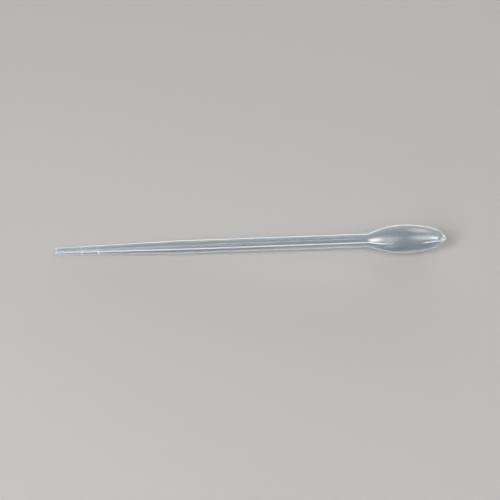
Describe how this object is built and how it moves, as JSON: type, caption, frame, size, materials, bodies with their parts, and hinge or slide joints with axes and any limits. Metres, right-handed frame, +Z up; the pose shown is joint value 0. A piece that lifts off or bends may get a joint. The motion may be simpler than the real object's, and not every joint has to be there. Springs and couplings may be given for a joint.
{
  "type": "plastic dropper pipette",
  "caption": "Blow-moulded translucent plastic dropper: a tapered tip with graduation rings, a straight hollow stem and a closed squeeze bulb, lying on its side.",
  "frame": {"origin": "centre of the bounding box's base, on the surface that the dropper lies on", "axes": "+X along the dropper from its open tip to its squeeze bulb, +Z up; the dropper's own axis rises 1.80 degrees towards the bulb, because it lies on its bulb and on the first ring of its thinner tip"},
  "size_m": [0.1696, 0.0126, 0.0127],
  "materials": {
    "natural_polyethylene": "satin"
  },
  "bodies": {
    "root": {"dropper": "natural_polyethylene"}
  },
  "joints": []
}
